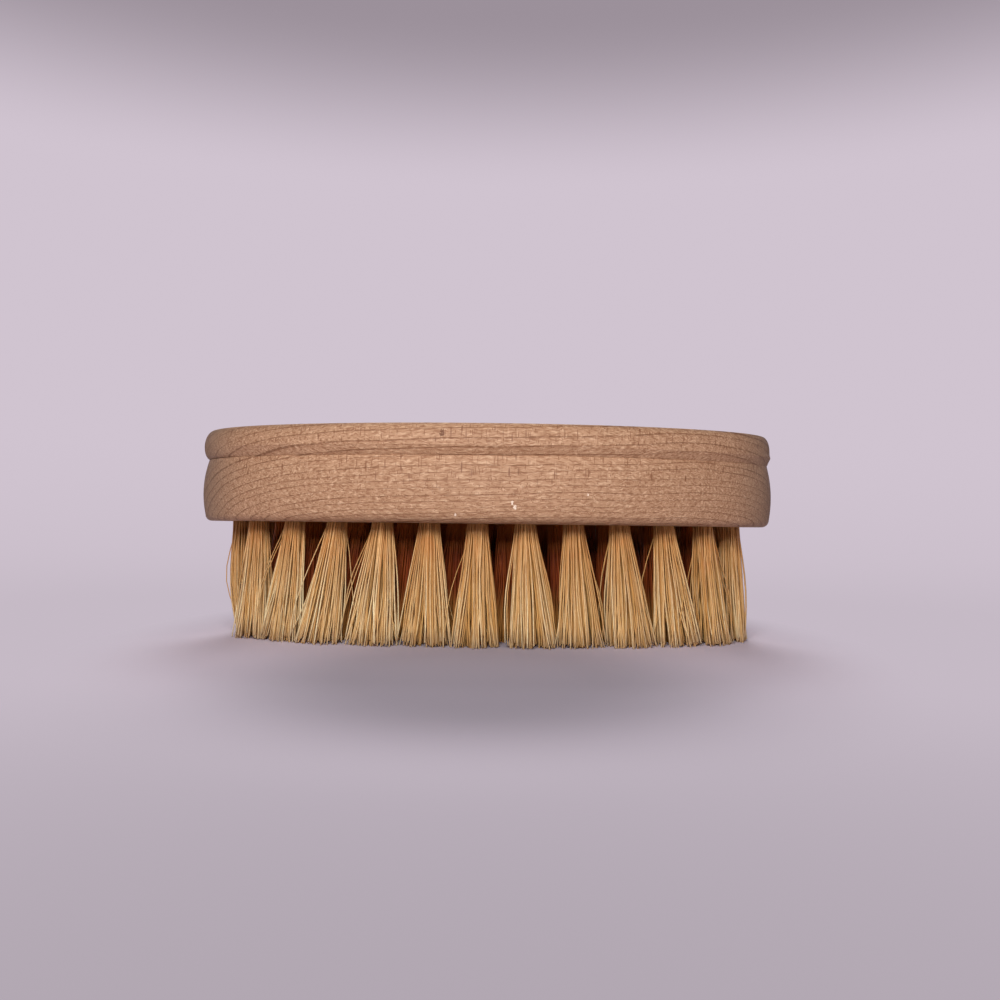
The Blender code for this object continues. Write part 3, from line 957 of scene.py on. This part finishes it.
def tuft_mesh(node, tuft, inner_row):
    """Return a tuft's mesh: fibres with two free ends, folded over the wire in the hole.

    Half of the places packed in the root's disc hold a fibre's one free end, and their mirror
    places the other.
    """
    random = tuft.random
    free = np.linspace(0.0, 1.0, FREE_STEPS + 1)
    along = np.concatenate([free[::-1], np.zeros(FOLD_STEPS + 1), free])
    vertices, faces, tones, painted_shades = [], [], [], []
    first = 0
    for across, aside in packed_disc(2 * FIBRE_PAIRS):
        if aside >= 0.0:
            continue
        stray = random.random() < STRAY_SHARE
        down = tuft.fibre(np.array((across, aside)), stray)
        back = tuft.fibre(np.array((across, -aside)), stray)
        path = np.concatenate([down[::-1], fold_path(down[0], back[0]), back])
        radius = between(FIBRE_RADIUS, random.random()) * (STRAY_THINNESS if stray else 1.0)
        radii = radius * (1.0 - (1.0 - TIP_TAPER) * along)
        corners, tube = fibre_tube(path, radii, first)
        vertices.append(corners)
        faces.extend(tube)
        tone = between((random.random(), tuft.tone), TUFT_TONE)
        tones.append(np.full(len(corners), tone))
        # Fibres nearer the tuft's middle take more painted shade
        rim = math.hypot(across, aside) ** INSIDE_PAINTED_SHADE_POWER
        depth = 1.0 if inner_row else INSIDE_PAINTED_SHADE * (1.0 - rim)
        painted_shades.append(np.full(len(corners), depth))
        first += len(corners)
    mesh = bpy.data.meshes.new(node + "_fibres")
    mesh.from_pydata(np.concatenate(vertices).tolist(), [], faces)
    alongs = np.tile(np.repeat(along, FIBRE_SIDES), len(tones))
    stored_values = {
        "fibre_tone": np.concatenate(tones),
        "fibre_along": alongs,
        "fibre_painted_shade": np.concatenate(painted_shades),
    }
    for name, values in stored_values.items():
        stored = mesh.attributes.new(name, "FLOAT", "POINT")
        stored.data.foreach_set("value", values.astype(np.float32))
    sides = (len(along) - 1) * FIBRE_SIDES
    smooth_faces = np.tile([True] * sides + [False, False], len(tones))
    mesh.polygons.foreach_set("use_smooth", smooth_faces)
    return mesh


def make_tufts(material):
    """Make every tuft in place of its node."""
    near_nodes = [node for node in TUFT_NODES
                  if node.startswith("tuft_outer_") and tuft_places(node)[0].y < 0.0]
    near_nodes.sort(key=lambda node: tuft_places(node)[0].x)
    near_leans = dict(zip(near_nodes, NEAR_LEANS))
    for order, node in enumerate(TUFT_NODES):
        tuft = Tuft(node, order, near_leans.get(node))
        mesh = tuft_mesh(node, tuft, not node.startswith("tuft_outer_"))
        mesh.materials.append(material)
        made = new_object(node + "_fibres", mesh)
        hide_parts(node)
        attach(made, "root")


def make_anchor_wires(places, material):
    """Make the flat anchor wires that the tufts fold over, inside the block."""
    bm = bmesh.new()
    for root in places:
        middle = Matrix.Translation((root.x, root.y, UNDERSIDE + WIRE_DEPTH - WIRE_HEIGHT / 2))
        size = Matrix.Diagonal((WIRE_LENGTH, WIRE_THICKNESS, WIRE_HEIGHT, 1.0))
        bmesh.ops.create_cube(bm, size=1.0, matrix=middle @ size)
    bmesh.ops.bevel(bm, geom=list(bm.edges), offset=WIRE_BEVEL, segments=1, affect="EDGES")
    mesh = bpy.data.meshes.new("anchor_wires")
    bm.to_mesh(mesh)
    bm.free()
    mesh.materials.append(material)
    wires = new_object("anchor_wires", mesh)
    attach(wires, "root")


# Stage, light and camera


def make_floor(material):
    """Make a round floor that curves up into a wall on all sides."""
    profile = [(0.0, 0.0), (FLOOR_RADIUS / 2, 0.0), (FLOOR_RADIUS, 0.0)]
    for step in range(1, WALL_STEPS + 1):
        angle = math.pi / 2 * step / WALL_STEPS
        profile.append((FLOOR_RADIUS + WALL_RADIUS * math.sin(angle),
                        WALL_RADIUS * (1.0 - math.cos(angle))))
    profile.append((FLOOR_RADIUS + WALL_RADIUS, WALL_HEIGHT))
    bm = bmesh.new()
    corners = [bm.verts.new((radius, 0.0, height)) for radius, height in profile]
    edges = [bm.edges.new(pair) for pair in zip(corners, corners[1:])]
    bmesh.ops.spin(
        bm, geom=corners + edges, cent=(0.0, 0.0, 0.0), axis=(0.0, 0.0, 1.0),
        angle=math.tau, steps=FLOOR_SEGMENTS, use_merge=True,
    )
    bmesh.ops.remove_doubles(bm, verts=bm.verts, dist=MERGE_DISTANCE)
    bmesh.ops.recalc_face_normals(bm, faces=bm.faces)
    mesh = bpy.data.meshes.new("floor")
    bm.to_mesh(mesh)
    bm.free()
    mesh.shade_smooth()
    mesh.materials.append(material)
    floor = new_object("floor", mesh)


def make_lamp(name, place, size, power):
    """Add a soft square lamp that looks at the brush and isn't itself seen."""
    light = bpy.data.lights.new(name, "AREA")
    light.size = size
    light.energy = power
    lamp = new_object(name, light)
    lamp.location = place
    middle = Vector((0.0, 0.0, UNDERSIDE))
    lamp.rotation_euler = (middle - place).to_track_quat("-Z", "Y").to_euler()
    lamp.visible_camera = False


def make_world():
    """Light the scene softly from all sides."""
    world = bpy.data.worlds.new("studio")
    world.use_nodes = True
    background = world.node_tree.nodes["Background"]
    background.inputs["Color"].default_value = (1.0, 1.0, 1.0, 1.0)
    background.inputs["Strength"].default_value = WORLD_STRENGTH
    bpy.context.scene.world = world


def make_camera():
    """Set the camera where the photograph was taken from."""
    data = bpy.data.cameras.new("photo_camera")
    data.lens = CAMERA_LENS
    data.sensor_width = CAMERA_SENSOR
    data.sensor_fit = "HORIZONTAL"
    data.clip_start, data.clip_end = CAMERA_CLIP
    camera = new_object("photo_camera", data)
    turned = (Matrix.Rotation(CAMERA_PITCH, 4, "X") @ Matrix.Rotation(CAMERA_ROLL, 4, "Y")
              @ Matrix.Rotation(CAMERA_YAW, 4, "Z"))
    offset = Vector((CAMERA_OFFSET_X, CAMERA_DISTANCE, CAMERA_OFFSET_Z))
    to_camera = Matrix.Translation(offset) @ turned
    stand = Matrix.Translation((0.0, 0.0, UNDERSIDE))
    camera.matrix_world = stand @ to_camera.inverted() @ Matrix.Rotation(math.pi / 2, 4, "X")
    bpy.context.scene.camera = camera


def make_scene():
    """Build the brush, its stage, the light and the camera."""
    bpy.context.scene.view_settings.view_transform = "Standard"
    make_camera()
    make_world()
    make_lamp("key", KEY_PLACE, KEY_SIZE, KEY_POWER)
    make_lamp("rear", REAR_PLACE, REAR_SIZE, REAR_POWER)
    make_floor(floor_material())
    roots = [tuft_places(node)[0] for node in TUFT_NODES]
    make_block(roots, wood_material())
    make_anchor_wires(roots, wire_material())
    make_tufts(bristle_material())


make_scene()
